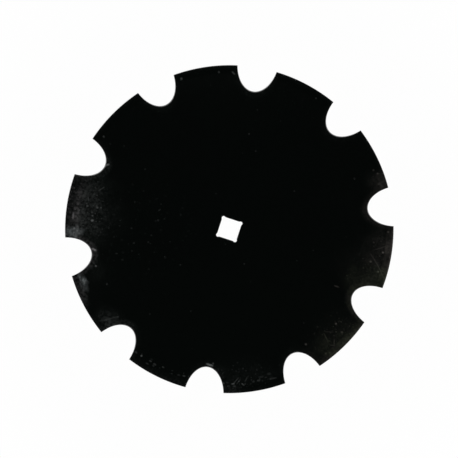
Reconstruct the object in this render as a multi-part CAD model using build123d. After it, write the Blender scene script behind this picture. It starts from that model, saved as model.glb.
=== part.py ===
from build123d import *
import os
from math import asin, cos, radians, sin, sqrt, tan

# Notched harrow disc blade: one dished steel plate with a toothed, ground rim and a square axle hole.
# It lies on its convex back, hollow side up. +Z runs up the axle line, X and Y run square to the
# flats of the axle hole, and the origin is the middle of the spot that the blade rests on.
# Sizes are in millimetres and angles in degrees.

# Driving dimensions of the dished plate
blade_diameter = 610.0
plate_thickness = 6.0
hollow_radius = 560.0           # radius of the sphere that the hollow face is pressed to

# Driving dimensions of the cutting edge, ground on the hollow face
bevel_width = 13.0              # measured along the hollow face, from the rim inwards
rim_land = 2.0                  # thickness left standing at the rim

# Driving dimensions of the notches, all seen along the axle line
notch_count = 10
notch_depth = 40.0              # from the rim to the bottom of a notch
notch_mouth = 72.5              # straight across a notch at the rim
notch_half_length = 73.0        # the longer half axis of the ellipse that a notch follows
notch_phase = 135.0             # direction of the notch that lies on a diagonal of the axle hole

# Driving dimensions of the square axle hole
axle_hole_width = 41.0          # across the flats, for a 40 mm square axle
corner_relief_radius = 4.0      # round relief that keeps the axle's edges off the corners
corner_relief_overrun = 1.3     # how far a relief reaches past a flat

cutter_overrun = 20.0           # how far a cutting tool runs past the plate

# Both faces of the plate are spheres about one centre on the axle line. The blade rests on the
# middles of the four lower edges of the axle hole, so the centre's height is counted from there
blade_radius = blade_diameter / 2
back_radius = hollow_radius + plate_thickness
axle_hole_half = axle_hole_width / 2
centre_height = sqrt(back_radius**2 - axle_hole_half**2)

# Rim and bevel, in radians at the sphere's centre, counted from straight down
rim_angle = asin(blade_radius / back_radius)
bevel_angle = rim_angle - bevel_width / hollow_radius


def section_point(distance, angle):
    """A point of the plate's section, by its distance and angle from the centre of the sphere."""
    return (distance * sin(angle), centre_height - distance * cos(angle))


def dished_plate():
    """The pressed plate: its section turned about the axle line, with the bevel ground on the rim."""
    hollow_pole = section_point(hollow_radius, 0)
    hollow_middle = section_point(hollow_radius, bevel_angle / 2)
    bevel_start = section_point(hollow_radius, bevel_angle)
    rim_top = section_point(back_radius - rim_land, rim_angle)
    rim_bottom = section_point(back_radius, rim_angle)
    back_middle = section_point(back_radius, rim_angle / 2)
    back_pole = section_point(back_radius, 0)
    with BuildPart() as plate:
        with BuildSketch(Plane.XZ):
            with BuildLine():
                ThreePointArc(hollow_pole, hollow_middle, bevel_start)
                Polyline(bevel_start, rim_top, rim_bottom)
                ThreePointArc(rim_bottom, back_middle, back_pole)
                Line(back_pole, hollow_pole)
            make_face()
        revolve(axis=Axis.Z)
    return plate.part


# The blank is notched flat and then pressed, so every wall of a notch stands square to the plate:
# it is ruled towards the centre of the sphere, and a notch grows evenly with the depth below it.
# The ellipse of a notch is set out on the level plane of the rim
rim_depth = sqrt(back_radius**2 - blade_radius**2)
notch_bottom_angle = asin((blade_radius - notch_depth) / back_radius)
notch_centre = rim_depth * tan(notch_bottom_angle) + notch_half_length
mouth_reach = sqrt(blade_radius**2 - (notch_mouth / 2)**2)
mouth_share = (notch_centre - mouth_reach) / notch_half_length
notch_half_width = notch_mouth / 2 / sqrt(1 - mouth_share**2)


def notch_section(depth, direction):
    """The ellipse of a notch on the level plane at this depth below the centre of the sphere."""
    growth = depth / rim_depth
    outwards = Vector(cos(direction), sin(direction), 0)
    middle = outwards * (notch_centre * growth) + Vector(0, 0, centre_height - depth)
    level = Plane(origin=middle, x_dir=outwards, z_dir=(0, 0, 1))
    return level * Ellipse(notch_half_length * growth, notch_half_width * growth)


def notch_cutter(direction):
    """The ruled cutter of one notch, from above the rim to below the plate."""
    upper = notch_section(rim_depth - cutter_overrun, direction)
    lower = notch_section(back_radius + cutter_overrun, direction)
    return loft([upper, lower], ruled=True)


def axle_hole_cutter():
    """A square bar with a round relief along each corner."""
    relief_place = axle_hole_half + corner_relief_overrun - corner_relief_radius
    with BuildPart() as cutter:
        with BuildSketch(Plane.XY.offset(-cutter_overrun)):
            Rectangle(axle_hole_width, axle_hole_width)
            with GridLocations(2 * relief_place, 2 * relief_place, 2, 2):
                Circle(corner_relief_radius)
        extrude(amount=cutter_overrun + plate_thickness + cutter_overrun)
    return cutter.part


blade = dished_plate() - axle_hole_cutter()
for notch in range(notch_count):
    blade = blade - notch_cutter(radians(notch_phase + notch * 360 / notch_count))

os.makedirs("parts", exist_ok=True)
export_step(blade, "parts/disc_blade.step")

blade_size = blade.bounding_box().size
print(f"blade {blade_size.X:.1f} x {blade_size.Y:.1f} x {blade_size.Z:.1f} mm, {blade.volume / 1000:.0f} cm3")
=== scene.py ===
from math import acos, asin, atan2, cos, hypot, pi, radians, sin, sqrt, tan

import bmesh
import bpy
from mathutils import Matrix, Vector


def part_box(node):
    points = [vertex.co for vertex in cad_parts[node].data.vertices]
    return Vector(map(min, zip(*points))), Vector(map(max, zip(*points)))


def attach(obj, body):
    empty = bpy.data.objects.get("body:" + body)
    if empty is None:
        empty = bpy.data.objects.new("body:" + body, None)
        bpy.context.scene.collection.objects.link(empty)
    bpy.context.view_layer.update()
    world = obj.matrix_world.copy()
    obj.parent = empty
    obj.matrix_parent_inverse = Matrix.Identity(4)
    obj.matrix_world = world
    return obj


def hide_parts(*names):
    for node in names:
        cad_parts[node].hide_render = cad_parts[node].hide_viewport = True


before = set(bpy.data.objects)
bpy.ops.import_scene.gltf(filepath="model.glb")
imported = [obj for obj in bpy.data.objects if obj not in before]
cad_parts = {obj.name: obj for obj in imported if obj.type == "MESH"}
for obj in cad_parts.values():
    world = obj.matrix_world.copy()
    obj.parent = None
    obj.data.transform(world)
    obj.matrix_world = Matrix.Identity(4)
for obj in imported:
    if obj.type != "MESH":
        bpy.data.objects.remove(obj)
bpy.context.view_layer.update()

# Sizes of the blade, in metres: the rim comes from the frame, and the others are those of the solid
lowest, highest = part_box("disc_blade")
blade_radius = min(highest.x, highest.y, -lowest.x, -lowest.y)
plate_thickness = 0.006
hollow_radius = 0.560
bevel_width = 0.013
rim_land = 0.002
notch_count = 10
notch_depth = 0.040
notch_mouth = 0.0725
notch_half_length = 0.073
notch_phase = radians(135)
axle_hole_width = 0.041
relief_radius = 0.004
relief_overrun = 0.0013
edge_rounding = 0.0005
rounding_segments = 2
sharp_edge = radians(14)            # edges that turn by more than this are rounded

# The two faces are spheres about one centre on the axle line
back_radius = hollow_radius + plate_thickness
axle_hole_half = axle_hole_width / 2
centre_height = sqrt(back_radius**2 - axle_hole_half**2)
rim_angle = asin(blade_radius / back_radius)
bevel_angle = rim_angle - bevel_width / hollow_radius
rim_depth = sqrt(back_radius**2 - blade_radius**2)
rim_height = centre_height - rim_depth
ridge_radius = hollow_radius * sin(bevel_angle)

# The flat blank is drawn on the level plane of the rim, as the centre of the sphere sees it
blank_ridge = rim_depth * tan(bevel_angle)
notch_bottom_angle = asin((blade_radius - notch_depth) / back_radius)
blank_notch_bottom = rim_depth * tan(notch_bottom_angle)
notch_centre = blank_notch_bottom + notch_half_length
mouth_reach = sqrt(blade_radius**2 - (notch_mouth / 2)**2)
mouth_share = (notch_centre - mouth_reach) / notch_half_length
notch_half_width = notch_mouth / 2 / sqrt(1 - mouth_share**2)
half_pitch = pi / notch_count

# How finely the blank is divided
body_radius = 0.205                 # circle where the even rings end and the notches' grids start
hub_radius = 0.060                  # circle where the grid round the axle hole ends
tooth_steps = 12
bevel_steps = 4
flank_steps = 14
body_arc_steps = 10
body_rings = 26
hub_rings = 8
flat_steps = 17
relief_steps = 8
merge_distance = 0.00002
seed_size = 0.001                   # square that is merged into the first point of a line


# Lines and patches of the flat blank

def edit_all(piece):
    """Open this one piece in edit mode with all of it selected."""
    bpy.context.view_layer.objects.active = piece
    bpy.ops.object.mode_set(mode="EDIT")
    bpy.ops.mesh.select_mode(type="VERT")
    bpy.ops.mesh.select_all(action="SELECT")


def finish_edit():
    bpy.ops.object.mode_set(mode="OBJECT")


def start_point(x, y):
    """A single point of the blank, left selected in edit mode."""
    bpy.ops.object.select_all(action="DESELECT")
    bpy.ops.mesh.primitive_plane_add(size=seed_size, location=(0, 0, 0))
    line = bpy.context.object
    edit_all(line)
    bpy.ops.mesh.merge(type="CENTER")
    bpy.ops.transform.translate(value=(x, y, 0))
    return line


def arc(radius, start, end, steps, centre=(0, 0, 0)):
    line = start_point(centre[0] + radius * cos(start), centre[1] + radius * sin(start))
    bpy.ops.mesh.spin(steps=steps, angle=start - end, center=centre, axis=(0, 0, 1))
    finish_edit()
    return line


def straight(start, end, steps):
    line = start_point(start[0], start[1])
    bpy.ops.mesh.extrude_region_move(
        TRANSFORM_OT_translate={"value": (end[0] - start[0], end[1] - start[1], 0)})
    bpy.ops.mesh.select_all(action="SELECT")
    bpy.ops.mesh.subdivide(number_cuts=steps - 1)
    finish_edit()
    return line


def joined(pieces):
    """One piece made of several, with the points that they share merged."""
    bpy.ops.object.select_all(action="DESELECT")
    for piece in pieces:
        piece.select_set(True)
    bpy.context.view_layer.objects.active = pieces[0]
    if len(pieces) > 1:
        bpy.ops.object.join()
    edit_all(pieces[0])
    bpy.ops.mesh.remove_doubles(threshold=merge_distance)
    finish_edit()
    return pieces[0]


def bridged(near_line, far_line, rings):
    """A patch of so many rings between two lines that have equally many steps."""
    patch = joined([near_line, far_line])
    edit_all(patch)
    bpy.ops.mesh.select_mode(type="EDGE")
    bpy.ops.mesh.bridge_edge_loops(number_cuts=rings - 1, interpolation="LINEAR")
    finish_edit()
    return patch


def notch_turn(radius):
    """How far round the notch's ellipse, from its bottom, the blank reaches this radius."""
    spread = notch_half_length**2 - notch_half_width**2
    middle = notch_centre * notch_half_length
    rest = notch_centre**2 + notch_half_width**2 - radius**2
    return acos((middle - sqrt(middle**2 - spread * rest)) / spread)


def tooth_line(radius):
    """An arc of the blank from the notch's edge to the middle of the tooth."""
    turn = notch_turn(radius)
    start = atan2(notch_half_width * sin(turn), notch_centre - notch_half_length * cos(turn))
    return arc(radius, start, half_pitch, tooth_steps)


def tooth_patch():
    """Half of a tooth's cutting edge, from the ridge of the bevel to the rim."""
    step = (blade_radius - blank_ridge) / bevel_steps
    bands = [bridged(tooth_line(blank_ridge + band * step), tooth_line(blank_ridge + (band + 1) * step), 1)
             for band in range(bevel_steps)]
    return joined(bands)


def notch_edge():
    """Half of the notch's edge, from its bottom to the ridge: a round line drawn out to an ellipse."""
    line = arc(1, pi, pi - notch_turn(blank_ridge), body_arc_steps + flank_steps)
    edit_all(line)
    bpy.ops.transform.resize(value=(notch_half_length, notch_half_width, 1), center_override=(0, 0, 0))
    bpy.ops.transform.translate(value=(notch_centre, 0, 0))
    finish_edit()
    return line


def notch_patch():
    """Half of the plate beside a notch, as a grid between its edge, the ridge, the tooth and the body."""
    middle_start = (body_radius * cos(half_pitch), body_radius * sin(half_pitch))
    middle_end = (blank_ridge * cos(half_pitch), blank_ridge * sin(half_pitch))
    patch = joined([
        notch_edge(),
        tooth_line(blank_ridge),
        straight(middle_start, middle_end, flank_steps),
        arc(body_radius, 0, half_pitch, body_arc_steps),
        straight((body_radius, 0), (blank_notch_bottom, 0), tooth_steps),
    ])
    edit_all(patch)
    outline = bmesh.from_edit_mesh(patch.data)
    corner = Vector((blank_notch_bottom, 0, 0))
    outline.select_history.add(min(outline.verts, key=lambda point: (point.co - corner).length))
    bpy.ops.mesh.fill_grid(span=tooth_steps, use_interp_simple=True)
    finish_edit()
    return patch


def body_patch():
    """Half a pitch of the even rings between the axle hole's grid and the notches."""
    return bridged(arc(hub_radius, 0, half_pitch, body_arc_steps),
                   arc(body_radius, 0, half_pitch, body_arc_steps), body_rings)


def hub_patch():
    """An eighth of the plate round the axle hole, from the middle of a flat to a corner relief."""
    relief_place = axle_hole_half + relief_overrun - relief_radius
    flat_end = relief_place - sqrt(relief_radius**2 - (axle_hole_half - relief_place)**2)
    relief_start = atan2(flat_end - relief_place, axle_hole_half - relief_place)
    hole_edge = joined([
        straight((axle_hole_half, 0), (axle_hole_half, flat_end), flat_steps),
        arc(relief_radius, relief_start, radians(45), relief_steps, (relief_place, relief_place, 0)),
    ])
    blank_share = rim_depth / centre_height
    edit_all(hole_edge)
    bpy.ops.transform.resize(value=(blank_share, blank_share, 1), center_override=(0, 0, 0))
    finish_edit()
    hub_circle = arc(hub_radius, 0, radians(45), flat_steps + relief_steps)
    return bridged(hole_edge, hub_circle, hub_rings)


def repeated_round(patch, count, phase):
    """The patch and its mirror image, copied all the way round the axle line."""
    edit_all(patch)
    bpy.ops.mesh.duplicate()
    bpy.ops.transform.resize(value=(1, -1, 1), center_override=(0, 0, 0))
    bpy.ops.mesh.select_all(action="SELECT")
    bpy.ops.transform.rotate(value=-phase, orient_axis="Z", center_override=(0, 0, 0))
    bpy.ops.mesh.spin(steps=count, angle=2 * pi, dupli=True, center=(0, 0, 0), axis=(0, 0, 1))
    finish_edit()
    return joined([patch])


# The pressed, ground and rounded plate

thickness_group = "plate_thickness"


def mark_ground_edge(plate):
    """Weigh the blank's points by how much of the plate's thickness the grinding leaves."""
    ground = plate.vertex_groups.new(name=thickness_group)
    for point in plate.data.vertices:
        angle = atan2(hypot(point.co.x, point.co.y), rim_depth)
        ground_share = min(1, max(0, (angle - bevel_angle) / (rim_angle - bevel_angle)))
        ground.add([point.index], 1 - ground_share * (1 - rim_land / plate_thickness), "REPLACE")


def apply_modifier(plate, kind, **settings):
    modifier = plate.modifiers.new(kind.lower(), kind)
    for name, value in settings.items():
        setattr(modifier, name, value)
    bpy.ops.object.modifier_apply(modifier=modifier.name)


def blade_plate():
    """The notched blank, pressed to the sphere, given its thickness and rounded along its edges."""
    plate = joined([
        repeated_round(tooth_patch(), notch_count, notch_phase),
        repeated_round(notch_patch(), notch_count, notch_phase),
        repeated_round(body_patch(), notch_count, notch_phase),
        repeated_round(hub_patch(), 4, 0),
    ])
    plate.name = plate.data.name = "pressed_blade"
    edit_all(plate)
    bpy.ops.transform.translate(value=(0, 0, -rim_depth))
    bpy.ops.mesh.normals_make_consistent(inside=False)
    finish_edit()
    mark_ground_edge(plate)
    apply_modifier(plate, "CAST", cast_type="SPHERE", factor=1.0, radius=0.0,
                   use_radius_as_size=False, size=back_radius)
    apply_modifier(plate, "SOLIDIFY", thickness=plate_thickness, offset=-1, vertex_group=thickness_group)
    edit_all(plate)
    bpy.ops.transform.translate(value=(0, 0, centre_height))
    finish_edit()
    bpy.ops.object.shade_smooth()
    apply_modifier(plate, "BEVEL", width=edge_rounding, segments=rounding_segments,
                   limit_method="ANGLE", angle_limit=sharp_edge, harden_normals=True)
    return plate


# Shader nodes

def add_node(tree, kind, inputs=None, **settings):
    """Add a node with its settings, and give each named input a value or a link."""
    node = tree.nodes.new(kind)
    for name, value in settings.items():
        setattr(node, name, value)
    for name, value in (inputs or {}).items():
        if isinstance(value, bpy.types.NodeSocket):
            tree.links.new(value, node.inputs[name])
        else:
            node.inputs[name].default_value = value
    return node


def calculate(tree, operation, *values):
    node = add_node(tree, "ShaderNodeMath", dict(enumerate(values)), operation=operation)
    return node.outputs[0]


def product(tree, first, *others):
    for other in others:
        first = calculate(tree, "MULTIPLY", first, other)
    return first


def add_up(tree, masks):
    total = masks[0]
    for mask in masks[1:]:
        total = calculate(tree, "ADD", total, mask)
    return total


def smooth_range(tree, value, low, high, low_result=0.0, high_result=1.0):
    node = add_node(tree, "ShaderNodeMapRange", {
        "Value": value, "From Min": low, "From Max": high, "To Min": low_result, "To Max": high_result},
        interpolation_type="SMOOTHSTEP")
    return node.outputs["Result"]


def fade_out(tree, value, start, end):
    """1 up to the start, and 0 from the end on."""
    return smooth_range(tree, value, start, end, 1.0, 0.0)


def vector_math(tree, operation, *vectors):
    node = add_node(tree, "ShaderNodeVectorMath", dict(enumerate(vectors)), operation=operation)
    return node.outputs[0]


def length_of(tree, vector):
    return add_node(tree, "ShaderNodeVectorMath", {0: vector}, operation="LENGTH").outputs["Value"]


def vector_parts(tree, vector):
    return add_node(tree, "ShaderNodeSeparateXYZ", {0: vector}).outputs


def turned(tree, vector, angle):
    """The vector, turned by the angle about the Z axis."""
    node = add_node(tree, "ShaderNodeVectorRotate", {"Vector": vector, "Angle": angle},
                    rotation_type="Z_AXIS")
    return node.outputs[0]


def noise(tree, point, size, detail):
    """Soft clouds, about this size across: Fac runs from 0 to 1, and Color is a vector of the like."""
    node = add_node(tree, "ShaderNodeTexNoise", {"Vector": point, "Scale": 1 / size, "Detail": detail})
    return node.outputs


def mix_colours(tree, share, first, second):
    node = add_node(tree, "ShaderNodeMix", {"Factor": share, "A": first, "B": second}, data_type="RGBA")
    return node.outputs[2]


# Node groups, each of which makes a mask from a point on the plate

least_speck = 0.35                  # size and strength of the least speck, as a share of the largest
speck_core = 0.55                   # share of a speck's radius that isn't faded
scratch_core = 0.3                  # share of a scratch's width and length that isn't faded


def new_mask_group(name, *numbers):
    """An empty group that takes a point and these named numbers, and the nodes that carry its sockets."""
    group = bpy.data.node_groups.new(name, "ShaderNodeTree")
    group.interface.new_socket("Point", in_out="INPUT", socket_type="NodeSocketVector")
    for number in numbers:
        group.interface.new_socket(number, in_out="INPUT", socket_type="NodeSocketFloat")
    group.interface.new_socket("Mask", in_out="OUTPUT", socket_type="NodeSocketFloat")
    return group, group.nodes.new("NodeGroupInput").outputs, group.nodes.new("NodeGroupOutput").inputs


def place_group(tree, group, **inputs):
    """Place a node group in a tree with its own values, and return its mask."""
    node = tree.nodes.new("ShaderNodeGroup")
    node.node_tree = group
    for name, value in inputs.items():
        socket = node.inputs[name.capitalize()]
        if isinstance(value, bpy.types.NodeSocket):
            tree.links.new(value, socket)
        else:
            socket.default_value = value
    return node.outputs["Mask"]


def local_place(group, sockets):
    """The point as seen from a place on the plate: outwards along X, round the rim along Y."""
    point = turned(group, sockets["Point"], calculate(group, "MULTIPLY", sockets["Azimuth"], -1.0))
    place = add_node(group, "ShaderNodeCombineXYZ", {"X": sockets["Radius"]})
    return vector_math(group, "SUBTRACT", point, place.outputs[0])


def worn_patch_group():
    """A soft oval, for a rubbed or dusty place."""
    group, sockets, result = new_mask_group("worn_patch", "Azimuth", "Radius", "Across", "Along", "Softness")
    extent = add_node(group, "ShaderNodeCombineXYZ", {
        "X": sockets["Across"], "Y": sockets["Along"], "Z": 1.0})
    share = vector_math(group, "DIVIDE", local_place(group, sockets), extent.outputs[0])
    reach = length_of(group, vector_math(group, "MULTIPLY", share, (1, 1, 0)))
    inner = calculate(group, "SUBTRACT", 1.0, sockets["Softness"])
    group.links.new(fade_out(group, reach, inner, 1.0), result["Mask"])
    return group


def specks_group():
    """Scattered dots of uneven size and strength, each in its own cell."""
    group, sockets, result = new_mask_group("specks", "Spacing", "Size", "Share")
    density = calculate(group, "DIVIDE", 1.0, sockets["Spacing"])
    cells = add_node(group, "ShaderNodeTexVoronoi", {"Vector": sockets["Point"], "Scale": density},
                     voronoi_dimensions="2D").outputs
    chance = add_node(group, "ShaderNodeSeparateColor", {"Color": cells["Color"]}).outputs
    kept = calculate(group, "LESS_THAN", chance["Red"], sockets["Share"])
    size = product(group, sockets["Size"], density,
                   smooth_range(group, chance["Green"], 0.0, 1.0, least_speck, 1.0))
    reach = calculate(group, "DIVIDE", cells["Distance"], size)
    strength = smooth_range(group, chance["Blue"], 0.0, 1.0, least_speck, 1.0)
    mask = product(group, kept, fade_out(group, reach, speck_core, 1.0), strength)
    group.links.new(mask, result["Mask"])
    return group


def hairline_group():
    """A fine bowed line, faint at its ends, for scratches and for a painted highlight."""
    group, sockets, result = new_mask_group(
        "hairline", "Azimuth", "Radius", "Slant", "Bend", "Length", "Width")
    place = vector_parts(group, turned(group, local_place(group, sockets), sockets["Slant"]))
    bow = product(group, calculate(group, "POWER", place["Y"], 2.0), sockets["Bend"])
    off_line = calculate(group, "ABSOLUTE", calculate(group, "ADD", place["X"], bow))
    off_line = calculate(group, "DIVIDE", off_line, sockets["Width"])
    half_length = product(group, sockets["Length"], 0.5)
    run = calculate(group, "DIVIDE", calculate(group, "ABSOLUTE", place["Y"]), half_length)
    mask = product(group, fade_out(group, off_line, scratch_core, 1.0),
                   fade_out(group, run, scratch_core, 1.0))
    group.links.new(mask, result["Mask"])
    return group


# Lacquer, with its lengths in metres

lacquer_black = (0.0030, 0.0049, 0.0040, 1)
# pale colours of the dust and of the painted reflection and highlights
grey_dust_and_sheen = (0.455, 0.485, 0.474, 1)
purple_dust_and_sheen = (0.482, 0.456, 0.466, 1)
brown_dust_and_sheen = (0.505, 0.450, 0.415, 1)
olive_dust_and_sheen = (0.440, 0.458, 0.326, 1)
rubbed_grey = (0.57, 0.63, 0.64, 1)
cover = 1.83                        # a mask times this is the pale colour's share in the paint
clean_roughness = 0.125
dusty_roughness = 0.32
dusty_haze = 0.2                    # mask where the paint is as rough as it gets
cloud_size = 0.030                  # thick and thin places in the dust and painted reflection
cloud_roughness = 0.02              # roughness that they add
grain_size = 0.005
thin_grain = 0.25                   # strength of the dust and painted reflection where their grain is thinnest
thick_grain = 1.7
grain_smoothing = 0.55              # how far the grain is evened out on the right
ramp_start = 0.20                   # the dust film and the painted reflection begin at this radius
ramp_growth = 2.8                   # and grow outwards with this power
ramp_on_bevel = 0.25                # share of them that stays on the bevel
grit_start = 0.220
grit_full = 0.260
grit_strength = 0.060
chip_and_glint_inset = 0.002                  # the line of chips and painted glints lies this far inside the ridge
chip_and_glint_core = 0.003                   # and they fade between these distances from it
chip_and_glint_reach = 0.008
few_strength = 0.04
least_edge_dust_and_sheen = 0.004
edge_core = 0.002                   # the band along the edges is full as far in as this
edge_reach = 0.009                  # and ends here
rim_highlight_width = 0.005                  # the painted highlight on the rim begins this far in
rim_highlight_full = 0.001                   # and is full here
tear_size = 0.010                   # raggedness of the rubbed places
tear_reach = 0.020
peel_size = 0.0025                  # ripple of the sprayed paint
peel_depth = 0.00003
peel_strength = 0.25


def edge_band(tree, turn, from_axle):
    """A narrow band along the rim and the notches, worked out as the blank was set out."""
    pitch = 2 * half_pitch
    pitches = calculate(tree, "DIVIDE", calculate(tree, "SUBTRACT", turn, notch_phase), pitch)
    off_notch = calculate(tree, "SUBTRACT", pitches, calculate(tree, "ROUND", pitches))
    off_notch = product(tree, off_notch, pitch)
    depth = calculate(tree, "SQRT", calculate(
        tree, "SUBTRACT", hollow_radius**2, calculate(tree, "POWER", from_axle, 2.0)))
    on_blank = calculate(tree, "DIVIDE", product(tree, from_axle, rim_depth), depth)
    along = product(tree, on_blank, calculate(tree, "COSINE", off_notch))
    along = calculate(tree, "DIVIDE", calculate(tree, "SUBTRACT", along, notch_centre), notch_half_length)
    across = product(tree, on_blank, calculate(tree, "SINE", off_notch))
    across = calculate(tree, "DIVIDE", across, notch_half_width)
    reach = calculate(tree, "SQRT", calculate(
        tree, "ADD", calculate(tree, "POWER", along, 2.0), calculate(tree, "POWER", across, 2.0)))
    notch_gap = product(tree, calculate(tree, "SUBTRACT", reach, 1.0), notch_half_width)
    rim_gap = calculate(tree, "SUBTRACT", blade_radius, from_axle)
    return fade_out(tree, calculate(tree, "MINIMUM", notch_gap, rim_gap), edge_core, edge_reach)


class HollowFace:
    """Where each point of the blade lies, and the marks that can be laid on its hollow face.

    A mark's place is its azimuth, in degrees, and its radius from the axle line. Left, right, top and
    bottom are as in the picture.
    """

    def __init__(self, tree):
        self.tree = tree
        self.worn_patch = worn_patch_group()
        self.specks = specks_group()
        self.hairline = hairline_group()
        coordinates = add_node(tree, "ShaderNodeTexCoord").outputs
        self.point = coordinates["Object"]
        self.level = vector_math(tree, "MULTIPLY", self.point, (1, 1, 0))
        self.from_axle = length_of(tree, self.level)
        place = vector_parts(tree, self.point)
        self.turn = calculate(tree, "ARCTAN2", place["Y"], place["X"])
        facing = vector_parts(tree, coordinates["Normal"])["Z"]
        self.hollow_side = smooth_range(tree, facing, -0.1, 0.3)
        self.clouds = noise(tree, self.point, cloud_size, 3.0)["Fac"]
        self.right_side = smooth_range(tree, place["X"], 0.17, 0.23)
        self.grain = self.mark_grain()
        self.ragged = self.ragged_point()
        self.near_edge = edge_band(tree, self.turn, self.from_axle)
        # patches of dust and of painted reflection
        self.left_dust_and_sheen = self.patch(190, 0.280, 0.11, 0.085)
        self.right_dust_and_sheen = self.patch(5, 0.300, 0.10, 0.090)
        self.lower_right_dust_and_sheen = self.patch(333, 0.300, 0.08, 0.080)
        self.bottom_dust_and_sheen = self.patch(292, 0.272, 0.038, 0.090)

    def mark_grain(self):
        """Grain of the dusty marks and the painted reflection, coarse on the left of the plate and smoother
        on its right.
        """
        fine_clouds = noise(self.tree, self.point, grain_size, 3.0)["Fac"]
        grain = smooth_range(self.tree, fine_clouds, 0.32, 0.68, thin_grain, thick_grain)
        smoothing = product(self.tree, self.right_side, grain_smoothing)
        return add_node(self.tree, "ShaderNodeMix", {"Factor": smoothing, "A": grain, "B": 1.0}).outputs[0]

    def ragged_point(self):
        """The point shifted unevenly, so that a patch drawn with it has a ragged edge."""
        shift = noise(self.tree, self.point, tear_size, 2.0)["Color"]
        shift = vector_math(self.tree, "SUBTRACT", shift, (0.5, 0.5, 0.5))
        shift = vector_math(self.tree, "MULTIPLY", shift, (tear_reach, tear_reach, tear_reach))
        return vector_math(self.tree, "ADD", self.point, shift)

    def patch(self, azimuth, radius, across, along, softness=0.8, ragged=False):
        """A soft oval, by its reach across the plate and along the rim."""
        return place_group(self.tree, self.worn_patch, point=self.ragged if ragged else self.point,
                           azimuth=radians(azimuth), radius=radius, across=across, along=along,
                           softness=softness)

    def dab(self, azimuth, radius, across, along, strength, **shape):
        """A patch at this strength, and soft or ragged as its shape says."""
        return product(self.tree, self.patch(azimuth, radius, across, along, **shape), strength)

    def spot(self, azimuth, radius, size, strength):
        """A small round knock."""
        return self.dab(azimuth, radius, size, size, strength)

    def streak(self, azimuth, radius, slant, length, strength, width=0.0014, bend=2.0):
        """A streak that slants outwards by so many degrees from the line of the rim: mostly scratches, and
        once a painted highlight.
        """
        line = place_group(self.tree, self.hairline, point=self.point, azimuth=radians(azimuth),
                           radius=radius, slant=radians(slant), bend=bend, length=length, width=width)
        return product(self.tree, line, strength)

    def dots(self, where, spacing, size, share):
        """Scattered specks, with this share of their places filled."""
        return place_group(self.tree, self.specks, point=where, spacing=spacing, size=size, share=share)


def dust_and_reflection_film(face):
    """Dust and painted reflection, which grow towards the ridge of the bevel and lie thinner on the bevel
    itself, where painted reflections of the bevel are added.
    """
    tree = face.tree
    thickening = add_node(tree, "ShaderNodeMapRange", {
        "Value": face.from_axle, "From Min": ramp_start, "From Max": ridge_radius}).outputs["Result"]
    thickening = calculate(tree, "POWER", thickening, ramp_growth)
    thinning = smooth_range(
        tree, face.from_axle, ridge_radius - 0.008, ridge_radius + 0.006, 1.0, ramp_on_bevel)
    # dust and a painted reflection in the patches, made to grow towards the ridge
    patch_strength = add_up(tree, [
        product(tree, face.left_dust_and_sheen, 0.050),
        product(tree, face.right_dust_and_sheen, 0.026),
        product(tree, face.lower_right_dust_and_sheen, 0.022),
        product(tree, face.bottom_dust_and_sheen, 0.009),
        face.dab(16, 0.290, 0.05, 0.036, 0.006),
        face.dab(35, 0.300, 0.04, 0.050, 0.022),
        face.dab(236, 0.287, 0.036, 0.046, 0.030),
    ])
    # faint patches of dust and painted reflection
    faint_patches = [
        face.dab(2, 0.250, 0.055, 0.050, 0.003),
        face.dab(190, 0.255, 0.070, 0.085, 0.004),
        face.dab(215, 0.262, 0.025, 0.030, 0.004),
        face.dab(357, 0.258, 0.035, 0.038, 0.006),
    ]
    on_bevel = smooth_range(tree, face.from_axle, ridge_radius - 0.001, ridge_radius + 0.002)
    # painted reflection on the bevel, patch by patch round the rim
    painted_bevel_reflection = add_up(tree, [
        face.dab(8, 0.303, 0.025, 0.10, 0.031, softness=0.5),
        face.dab(34, 0.300, 0.025, 0.045, 0.033),
        face.dab(176, 0.300, 0.025, 0.045, 0.010),
        face.dab(219, 0.300, 0.030, 0.050, 0.026),
        face.dab(262, 0.300, 0.022, 0.16, 0.006),
        face.dab(288, 0.302, 0.022, 0.032, 0.012),
        face.dab(333, 0.303, 0.025, 0.09, 0.036),
    ])
    film_and_reflection = add_up(tree, [product(tree, patch_strength, thickening, thinning), *faint_patches,
                         product(tree, painted_bevel_reflection, on_bevel)])
    return product(tree, film_and_reflection, face.grain, smooth_range(tree, face.clouds, 0.3, 0.7, 0.5, 1.4))


def grit(face):
    """Coarser grains in the dusty patches."""
    tree = face.tree
    patch_strength = add_up(tree, [
        face.left_dust_and_sheen,
        product(tree, face.right_dust_and_sheen, 0.5),
        product(tree, face.lower_right_dust_and_sheen, 0.6),
        product(tree, face.bottom_dust_and_sheen, 0.5),
    ])
    outwards = smooth_range(tree, face.from_axle, grit_start, grit_full)
    grains = face.dots(face.level, spacing=0.0065, size=0.0019, share=0.6)
    return product(tree, grains, patch_strength, outwards, grit_strength)


def ridge_chips_and_glints(face):
    """Chips and painted glints along the ridge of the bevel at the bottom, longer round the rim than across
    it.
    """
    tree = face.tree
    round_rim = add_node(tree, "ShaderNodeCombineXYZ", {
        "X": product(tree, face.turn, ridge_radius), "Y": product(tree, face.from_axle, 2.0)}).outputs[0]
    # chips, with painted highlights where the ridge would catch light
    chips_and_glints = face.dots(round_rim, spacing=0.012, size=0.0042, share=0.6)
    off_ridge = calculate(tree, "ABSOLUTE", calculate(
        tree, "SUBTRACT", face.from_axle, ridge_radius - chip_and_glint_inset))
    on_ridge = fade_out(tree, off_ridge, chip_and_glint_core, chip_and_glint_reach)
    return product(tree, chips_and_glints, on_ridge, face.dab(268, 0.270, 0.12, 0.22, 0.06, softness=0.4))


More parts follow.
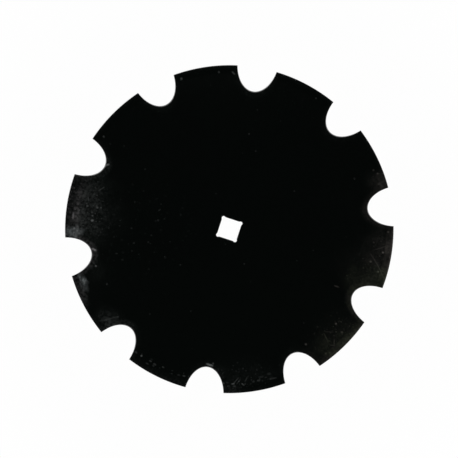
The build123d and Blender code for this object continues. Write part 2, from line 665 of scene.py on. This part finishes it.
def stray_specks(face):
    """Specks on the left half of the dish, and a few all over it."""
    tree = face.tree
    left_specks = face.dots(face.level, spacing=0.013, size=0.0028, share=0.38)
    left_specks = product(tree, left_specks, face.dab(198, 0.165, 0.13, 0.13, 0.026))
    few_specks = face.dots(face.level, spacing=0.024, size=0.0022, share=0.10)
    return calculate(tree, "ADD", left_specks, product(tree, few_specks, few_strength))


def dusty_edges_and_sheen(face):
    """Dust and a painted sheen along the rim and round the notches, where the edges would catch light."""
    tree = face.tree
    # dust, and a painted sheen of the edges
    edge_dust_and_sheen = add_up(tree, [
        face.dab(25, 0.270, 0.06, 0.07, 0.012),
        face.dab(172, 0.260, 0.04, 0.05, 0.012),
        face.dab(207, 0.265, 0.06, 0.06, 0.034),
        face.dab(238, 0.280, 0.05, 0.05, 0.014),
        face.dab(351, 0.265, 0.06, 0.07, 0.022),
        product(tree, face.lower_right_dust_and_sheen, 0.015),
    ])
    edge_dust_and_sheen = calculate(tree, "ADD", edge_dust_and_sheen, least_edge_dust_and_sheen)
    return product(tree, face.near_edge, face.grain, edge_dust_and_sheen)


def rim_highlight(face):
    """A painted highlight on the outermost millimetres of the rim, on the right."""
    # painted highlight along the rim's edge on the right
    rim = smooth_range(face.tree, face.from_axle, blade_radius - rim_highlight_width, blade_radius - rim_highlight_full)
    return product(face.tree, rim, face.dab(9, 0.300, 0.030, 0.080, 0.07))


def scratches_knocks_and_glint(face):
    """Marks that stand out, tooth by tooth: knocks, scratches, and one painted highlight on a notch's edge.
    """
    right_tooth = [
        face.spot(3.0, 0.2880, 0.0026, 0.10),
        face.streak(5.2, 0.2850, -39, 0.070, 0.040, bend=2.5),
        face.spot(6.0, 0.2720, 0.0028, 0.09),
        face.spot(10.4, 0.2890, 0.0028, 0.13),
        face.streak(12.0, 0.2846, 61, 0.034, 0.030),
        face.spot(18.1, 0.2950, 0.0028, 0.08),
    ]
    upper_right_tooth = [
        face.spot(36.0, 0.2900, 0.0028, 0.04),
        face.spot(39.8, 0.2940, 0.0024, 0.08),
    ]
    top_tooth = [
        face.streak(107.2, 0.2912, 41, 0.010, 0.090, width=0.0020),
        face.spot(112.4, 0.2932, 0.0028, 0.07),
        face.spot(126.0, 0.2940, 0.0032, 0.11),
    ]
    upper_left_tooth = [
        face.spot(161.3, 0.2906, 0.0026, 0.07),
        # a painted highlight on the notch's edge, drawn as a streak
        face.streak(169.8, 0.2605, 40, 0.010, 0.200, width=0.0024),
    ]
    left_tooth = [
        face.streak(180.1, 0.2541, 37, 0.018, 0.050),
        face.streak(185.3, 0.2707, -18, 0.010, 0.060),
        face.spot(188.0, 0.2473, 0.0024, 0.09),
        face.spot(188.1, 0.2703, 0.0026, 0.09),
        face.spot(188.2, 0.2533, 0.0026, 0.11),
        face.spot(191.8, 0.2596, 0.0024, 0.12),
        face.streak(192.4, 0.2915, 0, 0.018, 0.200, width=0.0018),
        face.spot(193.8, 0.2596, 0.0034, 0.18),
        face.streak(205.9, 0.2585, -50, 0.012, 0.300, width=0.0024),
    ]
    lower_left_teeth = [
        face.spot(212.8, 0.2610, 0.0026, 0.14),
        face.streak(234.1, 0.2802, -64, 0.044, 0.034),
        face.spot(235.6, 0.2669, 0.0030, 0.04),
        face.spot(252.7, 0.2870, 0.0026, 0.16),
    ]
    bottom_tooth = [
        face.streak(279.6, 0.2590, 8, 0.018, 0.250, width=0.0022),
        face.spot(281.0, 0.2560, 0.0024, 0.10),
        face.streak(289.3, 0.2880, -4, 0.008, 0.120, width=0.0018),
        face.streak(290.4, 0.2834, -42, 0.020, 0.048),
        face.streak(291.4, 0.2850, -45, 0.014, 0.034),
        face.streak(293.0, 0.2900, 37, 0.008, 0.100, width=0.0016),
        face.streak(294.4, 0.2822, -52, 0.012, 0.034),
        face.streak(300.1, 0.2822, 5, 0.014, 0.018, width=0.0018),
        face.streak(303.5, 0.2805, 5, 0.010, 0.026, width=0.0026),
        face.streak(304.4, 0.2893, 5, 0.020, 0.036, width=0.0018),
    ]
    lower_right_tooth = [
        face.spot(322.0, 0.2610, 0.0030, 0.09),
        face.spot(326.3, 0.2924, 0.0030, 0.05),
        face.streak(330.2, 0.2731, -71, 0.021, 0.042),
        face.streak(330.2, 0.2892, 42, 0.013, 0.036),
        face.streak(331.4, 0.2871, -41, 0.014, 0.044),
        face.streak(332.5, 0.2683, 44, 0.024, 0.020),
        face.spot(336.1, 0.2847, 0.0028, 0.07),
        face.spot(337.0, 0.2680, 0.0030, 0.09),
        face.streak(350.6, 0.2324, 80, 0.012, 0.050, width=0.0020),
    ]
    return add_up(face.tree, right_tooth + upper_right_tooth + top_tooth + upper_left_tooth + left_tooth
                  + lower_left_teeth + bottom_tooth + lower_right_tooth)


def rubbed_places(face):
    """Paint rubbed pale on both sides of the left notch."""
    rubbed = add_up(face.tree, [
        face.dab(198.2, 0.291, 0.022, 0.015, 0.110, softness=0.7, ragged=True),
        face.dab(216.5, 0.288, 0.009, 0.009, 0.110, ragged=True),
        face.dab(217.0, 0.289, 0.009, 0.024, 0.054, softness=0.5, ragged=True),
    ])
    return product(face.tree, rubbed, smooth_range(face.tree, face.grain, thin_grain, thick_grain, 0.6, 1.3))


def dust_and_reflection_colour(face):
    """Colour of the dusty marks and the painted reflection: grey on the left, with purple on the bevel and by
    the notches; brown and olive on the right.
    """
    tree = face.tree
    purple_share = smooth_range(tree, face.from_axle, ridge_radius - 0.016, ridge_radius - 0.002)
    purple_share = calculate(tree, "MAXIMUM", purple_share, face.near_edge)
    purple_share = product(tree, purple_share, face.patch(200, 0.295, 0.08, 0.17, softness=0.5))
    left_colour = mix_colours(tree, purple_share, grey_dust_and_sheen, purple_dust_and_sheen)
    olive_share = calculate(tree, "ADD", face.patch(355, 0.285, 0.09, 0.075),
                            product(tree, face.lower_right_dust_and_sheen, 0.8))
    olive_share = product(tree, olive_share, smooth_range(tree, face.clouds, 0.35, 0.55, 0.3, 1.0))
    olive_share = smooth_range(tree, olive_share, 0.1, 0.6)
    right_colour = mix_colours(tree, olive_share, brown_dust_and_sheen, olive_dust_and_sheen)
    return mix_colours(tree, face.right_side, left_colour, right_colour)


def lacquer():
    """Black gloss paint, dusty and chipped towards the rim of the hollow face, with painted reflection and
    highlights there, and clean on the back.
    """
    material = bpy.data.materials.new("black_lacquer")
    material.use_nodes = True
    tree = material.node_tree
    shader = tree.nodes["Principled BSDF"]
    face = HollowFace(tree)

    # the pale share: dust, grit, chips and scratches, with painted reflection and highlights
    dust_and_sheen = add_up(tree, [dust_and_reflection_film(face), grit(face), ridge_chips_and_glints(face), stray_specks(face),
                         dusty_edges_and_sheen(face), rim_highlight(face), scratches_knocks_and_glint(face)])
    dust_and_sheen = product(tree, dust_and_sheen, face.hollow_side)
    rubbed = product(tree, rubbed_places(face), face.hollow_side)
    colour = mix_colours(tree, product(tree, dust_and_sheen, cover), lacquer_black, dust_and_reflection_colour(face))
    colour = mix_colours(tree, product(tree, rubbed, cover), colour, rubbed_grey)
    tree.links.new(colour, shader.inputs["Base Color"])

    haze = calculate(tree, "ADD", dust_and_sheen, rubbed)
    roughness = smooth_range(tree, haze, 0.0, dusty_haze, clean_roughness, dusty_roughness)
    cloudiness = smooth_range(tree, face.clouds, 0.3, 0.7, 0.0, cloud_roughness)
    tree.links.new(calculate(tree, "ADD", roughness, cloudiness), shader.inputs["Roughness"])

    peel = noise(tree, face.point, peel_size, 1.0)["Fac"]
    bump = add_node(tree, "ShaderNodeBump", {
        "Height": peel, "Strength": peel_strength, "Distance": peel_depth})
    tree.links.new(bump.outputs[0], shader.inputs["Normal"])
    return material


# Studio, in metres and watts

stage_radius = 6.0
stage_sides = 96
wall_height = 4.2
stage_grey = 0.88
seen_white = 0.985                  # the floor beside the blade as the camera sees it, where 1 is white
painted_dish_shade = 0.15                  # painted shade: how much darker the floor is under the dish
lamp_width = 1.0
lamp_distance = 2.5
lamps = {                           # azimuth and angle off the axle line in degrees, and power
    "right_lamp": (15, 62, 12.6),
    "left_lamp": (180, 62, 12.6),
    "top_lamp": (108, 70, 11.4),
    "bottom_lamp": (288, 70, 11.4),
}
world_grey = 0.012


def stage_paint():
    """Pale paint that the camera and reflections see as white, with painted shade under the blade and a trace
    of its real shadow.
    """
    material = bpy.data.materials.new("pale_stage")
    material.use_nodes = True
    tree = material.node_tree
    paint = tree.nodes["Principled BSDF"]
    paint.inputs["Base Color"].default_value = (stage_grey, stage_grey, stage_grey, 1)
    paint.inputs["Roughness"].default_value = 0.9
    rays = add_node(tree, "ShaderNodeLightPath").outputs
    place = add_node(tree, "ShaderNodeTexCoord").outputs["Object"]
    distance = length_of(tree, place)
    height = vector_parts(tree, place)["Z"]
    # The camera sees painted shade under the dish, with the faint real shadow showing through it, and almost
    # none beside it
    painted_shade_under_dish = product(tree, smooth_range(tree, distance, 0.04, 0.10), fade_out(tree, distance, 0.16, 0.29))
    whiteness = calculate(tree, "SUBTRACT", smooth_range(tree, distance, 0.4, 0.8, seen_white, 1.0),
                          product(tree, painted_shade_under_dish, painted_dish_shade))
    seen_share = product(tree, rays["Is Camera Ray"], whiteness)
    # Painted shade in reflections: they darken under the blade, and fade out towards the top of the wall
    mirrored = calculate(tree, "MAXIMUM", rays["Is Glossy Ray"], rays["Is Transmission Ray"])
    mirrored = product(tree, mirrored, smooth_range(tree, distance, 0.1, 0.9, 0.2, 1.0),
                       fade_out(tree, height, 0.3, wall_height))
    share = calculate(tree, "MAXIMUM", seen_share, mirrored)
    white = add_node(tree, "ShaderNodeEmission", {"Color": (1, 1, 1, 1), "Strength": 1.0})
    both = add_node(tree, "ShaderNodeMixShader", {0: share, 1: paint.outputs[0], 2: white.outputs[0]})
    tree.links.new(both.outputs[0], tree.nodes["Material Output"].inputs["Surface"])
    return material


def add_stage():
    """A round floor with a wall all the way round it."""
    bpy.ops.object.select_all(action="DESELECT")
    bpy.ops.mesh.primitive_circle_add(
        vertices=stage_sides, radius=stage_radius, fill_type="NGON", location=(0, 0, 0))
    stage = bpy.context.object
    stage.name = stage.data.name = "studio_floor"
    edit_all(stage)
    bpy.ops.mesh.extrude_region_move(TRANSFORM_OT_translate={"value": (0, 0, wall_height)})
    bpy.ops.mesh.delete(type="ONLY_FACE")
    finish_edit()
    stage.data.materials.append(stage_paint())


def add_lamp(name, azimuth, from_axis, watts):
    """A square lamp aimed at the blade from this direction and angle off the axle line."""
    lamp = bpy.data.lights.new(name, "AREA")
    lamp.shape = "SQUARE"
    lamp.size = lamp_width
    lamp.energy = watts
    softbox = bpy.data.objects.new(name, lamp)
    bpy.context.scene.collection.objects.link(softbox)
    direction = Vector((sin(from_axis) * cos(azimuth), sin(from_axis) * sin(azimuth), cos(from_axis)))
    softbox.location = direction * lamp_distance
    softbox.rotation_euler = direction.to_track_quat("Z", "Y").to_euler()


def add_lamps():
    for name, (azimuth, from_axis, watts) in lamps.items():
        add_lamp(name, radians(azimuth), radians(from_axis), watts)


def dark_studio():
    """An almost black world behind the stage."""
    world = bpy.data.worlds.new("dark_studio")
    world.use_nodes = True
    background = world.node_tree.nodes["Background"].inputs["Color"]
    background.default_value = (world_grey, world_grey, world_grey, 1)
    bpy.context.scene.world = world


# The photograph's camera, with lengths measured in it in pixels
picture_px = 458
rim_radius_px = 164.42
view_distance_radii = 3.65          # camera to the plane of the rim, in blade radii
picture_turn = radians(-18.2)       # how far the blade is turned in the picture
view_tilt = radians(3.31)
view_swing = radians(1.36)
view_offset_radii = (0.0084, -0.01675)
sensor_width = 36.0


def add_camera():
    """Look almost straight down on the hollow face."""
    camera_data = bpy.data.cameras.new("photo_camera")
    camera = bpy.data.objects.new("photo_camera", camera_data)
    bpy.context.scene.collection.objects.link(camera)
    camera_data.sensor_width = sensor_width
    camera_data.lens = sensor_width * view_distance_radii * rim_radius_px / picture_px
    camera_data.clip_start = 0.01
    camera_data.clip_end = 100.0
    turn = Matrix.Rotation(-picture_turn, 3, "Z")
    tilt = Matrix.Rotation(-view_tilt, 3, "X")
    swing = Matrix.Rotation(-view_swing, 3, "Y")
    facing = turn @ tilt @ swing
    offset_x, offset_y = view_offset_radii
    station = Vector((-offset_x, -offset_y, view_distance_radii)) * blade_radius
    place = facing @ station + Vector((0, 0, rim_height))
    camera.matrix_world = Matrix.Translation(place) @ facing.to_4x4()
    bpy.context.scene.camera = camera


blade = blade_plate()
blade.data.materials.clear()
blade.data.materials.append(lacquer())
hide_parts("disc_blade")
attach(blade, "root")
add_stage()
add_lamps()
dark_studio()
add_camera()
bpy.context.scene.view_settings.view_transform = "Standard"
